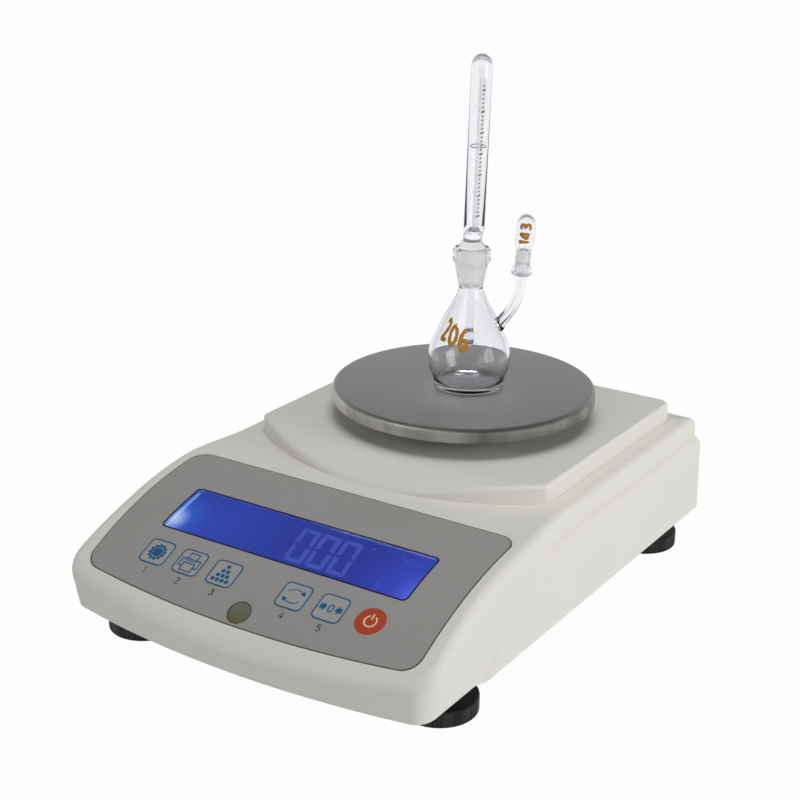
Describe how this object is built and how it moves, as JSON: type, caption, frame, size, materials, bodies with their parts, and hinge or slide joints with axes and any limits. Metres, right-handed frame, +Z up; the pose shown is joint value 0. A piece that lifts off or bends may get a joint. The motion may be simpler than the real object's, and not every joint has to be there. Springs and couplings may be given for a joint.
{
  "type": "benchtop density meter",
  "caption": "Bench density meter: a pan balance with a curved key panel, levelling feet and a glass thermometer pycnometer on its round pan.",
  "frame": {"origin": "on the bench, in the middle of the bounding box", "axes": "-Y is the front with the keys, +X the right-hand side seen from the front, +Z up"},
  "size_m": [0.1955, 0.279, 0.255],
  "materials": {
    "housing_abs": "fine-textured ABS moulding",
    "base_abs": "plain ABS moulding",
    "graphic_film": "printed matt polyester film",
    "display_lens": "clear acrylic lens",
    "lcd": "blue display cell",
    "diffuser": "light guide",
    "black_plastic": "black moulded plastic",
    "key_blue": "printed key",
    "key_red": "printed key",
    "circuit_board": "solder-masked board",
    "components": "moulded components",
    "steel": "plated steel",
    "pan_steel": "brushed stainless steel with a bright rim",
    "aluminium": "machined aluminium",
    "brass": "turned brass",
    "rubber": "black rubber",
    "cable": "PVC insulation",
    "vial": "clear acrylic vial",
    "level_fluid": "green level liquid",
    "clear_glass": "borosilicate glass with ground joints",
    "milk_glass": "white scale glass"
  },
  "bodies": {
    "instrument": {"upper_cover": "housing_abs", "base_plate": "base_abs", "cover_screws": "steel", "foot_inserts": "brass", "panel_film": "graphic_film", "display_window": "display_lens", "lcd_glass": "lcd", "lcd_bezel": "black_plastic", "backlight": "diffuser", "display_board": "circuit_board", "display_screws": "steel", "key_board": "circuit_board", "key_switches": "components", "key_board_screws": "steel", "level_holder": "black_plastic", "level_vial": "vial", "level_liquid": "level_fluid", "main_board": "circuit_board", "board_parts": "components", "board_screws": "steel", "port_board": "circuit_board", "serial_port": "steel", "serial_jackscrews": "steel", "dc_jack": "black_plastic", "display_ribbon": "cable", "cell_lead": "cable", "cell_block": "aluminium", "cell_screws": "steel", "overload_stop": "brass"},
    "key_1_body": {"key_1": "key_blue"},
    "key_2_body": {"key_2": "key_blue"},
    "key_3_body": {"key_3": "key_blue"},
    "key_4_body": {"key_4": "key_blue"},
    "key_5_body": {"key_5": "key_blue"},
    "power_key_body": {"power_key": "key_red"},
    "pan_carrier": {"carrier_arm": "aluminium", "arm_screws": "steel", "load_post": "aluminium", "pan_spider": "aluminium", "pan_buffers": "rubber", "load_cell": "aluminium"},
    "weighing_pan": {"pan": "pan_steel"},
    "flask_body": {"flask": "clear_glass"},
    "thermometer_body": {"thermometer": "clear_glass", "thermometer_scale": "milk_glass"},
    "cap_body": {"side_arm_cap": "clear_glass"},
    "foot_base_fl": {"foot_pad_fl": "rubber"},
    "foot_screw_fl": {"foot_knob_fl": "black_plastic", "foot_stud_fl": "steel"},
    "foot_base_fr": {"foot_pad_fr": "rubber"},
    "foot_screw_fr": {"foot_knob_fr": "black_plastic", "foot_stud_fr": "steel"},
    "foot_base_rl": {"foot_pad_rl": "rubber"},
    "foot_screw_rl": {"foot_knob_rl": "black_plastic", "foot_stud_rl": "steel"},
    "foot_base_rr": {"foot_pad_rr": "rubber"},
    "foot_screw_rr": {"foot_knob_rr": "black_plastic", "foot_stud_rr": "steel"}
  },
  "joints": [
    {"name": "key_1_press", "type": "slide", "parent": "instrument", "child": "key_1_body", "axis": [0, 0.4359, -0.9], "range_m": [0, 0.0004], "stiffness_N_per_m": 2000, "springref_m": -0.0005},
    {"name": "key_2_press", "type": "slide", "parent": "instrument", "child": "key_2_body", "axis": [0, 0.4359, -0.9], "range_m": [0, 0.0004], "stiffness_N_per_m": 2000, "springref_m": -0.0005},
    {"name": "key_3_press", "type": "slide", "parent": "instrument", "child": "key_3_body", "axis": [0, 0.4359, -0.9], "range_m": [0, 0.0004], "stiffness_N_per_m": 2000, "springref_m": -0.0005},
    {"name": "key_4_press", "type": "slide", "parent": "instrument", "child": "key_4_body", "axis": [0, 0.4359, -0.9], "range_m": [0, 0.0004], "stiffness_N_per_m": 2000, "springref_m": -0.0005},
    {"name": "key_5_press", "type": "slide", "parent": "instrument", "child": "key_5_body", "axis": [0, 0.4359, -0.9], "range_m": [0, 0.0004], "stiffness_N_per_m": 2000, "springref_m": -0.0005},
    {"name": "power_key_press", "type": "slide", "parent": "instrument", "child": "power_key_body", "axis": [0, 0.4359, -0.9], "range_m": [0, 0.0004], "stiffness_N_per_m": 2000, "springref_m": -0.0005},
    {"name": "weighing_travel", "type": "slide", "parent": "instrument", "child": "pan_carrier", "axis": [0, 0, -1], "range_m": [0, 0.0003], "stiffness_N_per_m": 40000, "springref_m": -0.0002, "deforming": ["load_cell"]},
    {"name": "pan_lift_off", "type": "slide", "parent": "pan_carrier", "child": "weighing_pan", "axis": [0, 0, 1], "range_m": [0, 0.03]},
    {"name": "flask_lift_off", "type": "slide", "parent": "weighing_pan", "child": "flask_body", "axis": [0, 0, 1], "range_m": [0, 0.05]},
    {"name": "thermometer_pull_out", "type": "slide", "parent": "flask_body", "child": "thermometer_body", "axis": [0, 0, 1], "range_m": [0, 0.055]},
    {"name": "cap_pull_off", "type": "slide", "parent": "flask_body", "child": "cap_body", "axis": [0.0529, 0.0305, 0.9981], "range_m": [0, 0.02]},
    {"name": "foot_lift_fl", "type": "slide", "parent": "instrument", "child": "foot_base_fl", "axis": [0, 0, -1], "range_m": [0, 0.005]},
    {"name": "foot_turn_fl", "type": "hinge", "parent": "foot_base_fl", "child": "foot_screw_fl", "pos_m": [-0.081, -0.0947, 0.012], "axis": [0, 0, -1], "range_deg": [0, 1440]},
    {"name": "foot_lift_fr", "type": "slide", "parent": "instrument", "child": "foot_base_fr", "axis": [0, 0, -1], "range_m": [0, 0.005]},
    {"name": "foot_turn_fr", "type": "hinge", "parent": "foot_base_fr", "child": "foot_screw_fr", "pos_m": [0.071, -0.0807, 0.012], "axis": [0, 0, -1], "range_deg": [0, 1440]},
    {"name": "foot_lift_rl", "type": "slide", "parent": "instrument", "child": "foot_base_rl", "axis": [0, 0, -1], "range_m": [0, 0.005]},
    {"name": "foot_turn_rl", "type": "hinge", "parent": "foot_base_rl", "child": "foot_screw_rl", "pos_m": [-0.071, 0.1213, 0.012], "axis": [0, 0, -1], "range_deg": [0, 1440]},
    {"name": "foot_lift_rr", "type": "slide", "parent": "instrument", "child": "foot_base_rr", "axis": [0, 0, -1], "range_m": [0, 0.005]},
    {"name": "foot_turn_rr", "type": "hinge", "parent": "foot_base_rr", "child": "foot_screw_rr", "pos_m": [0.071, 0.1213, 0.012], "axis": [0, 0, -1], "range_deg": [0, 1440]}
  ],
  "couplings": [
    {"joint": "foot_turn_fl", "follows": "foot_lift_fl", "rad_per_m": 5026.5},
    {"joint": "foot_turn_fr", "follows": "foot_lift_fr", "rad_per_m": 5026.5},
    {"joint": "foot_turn_rl", "follows": "foot_lift_rl", "rad_per_m": 5026.5},
    {"joint": "foot_turn_rr", "follows": "foot_lift_rr", "rad_per_m": 5026.5}
  ]
}
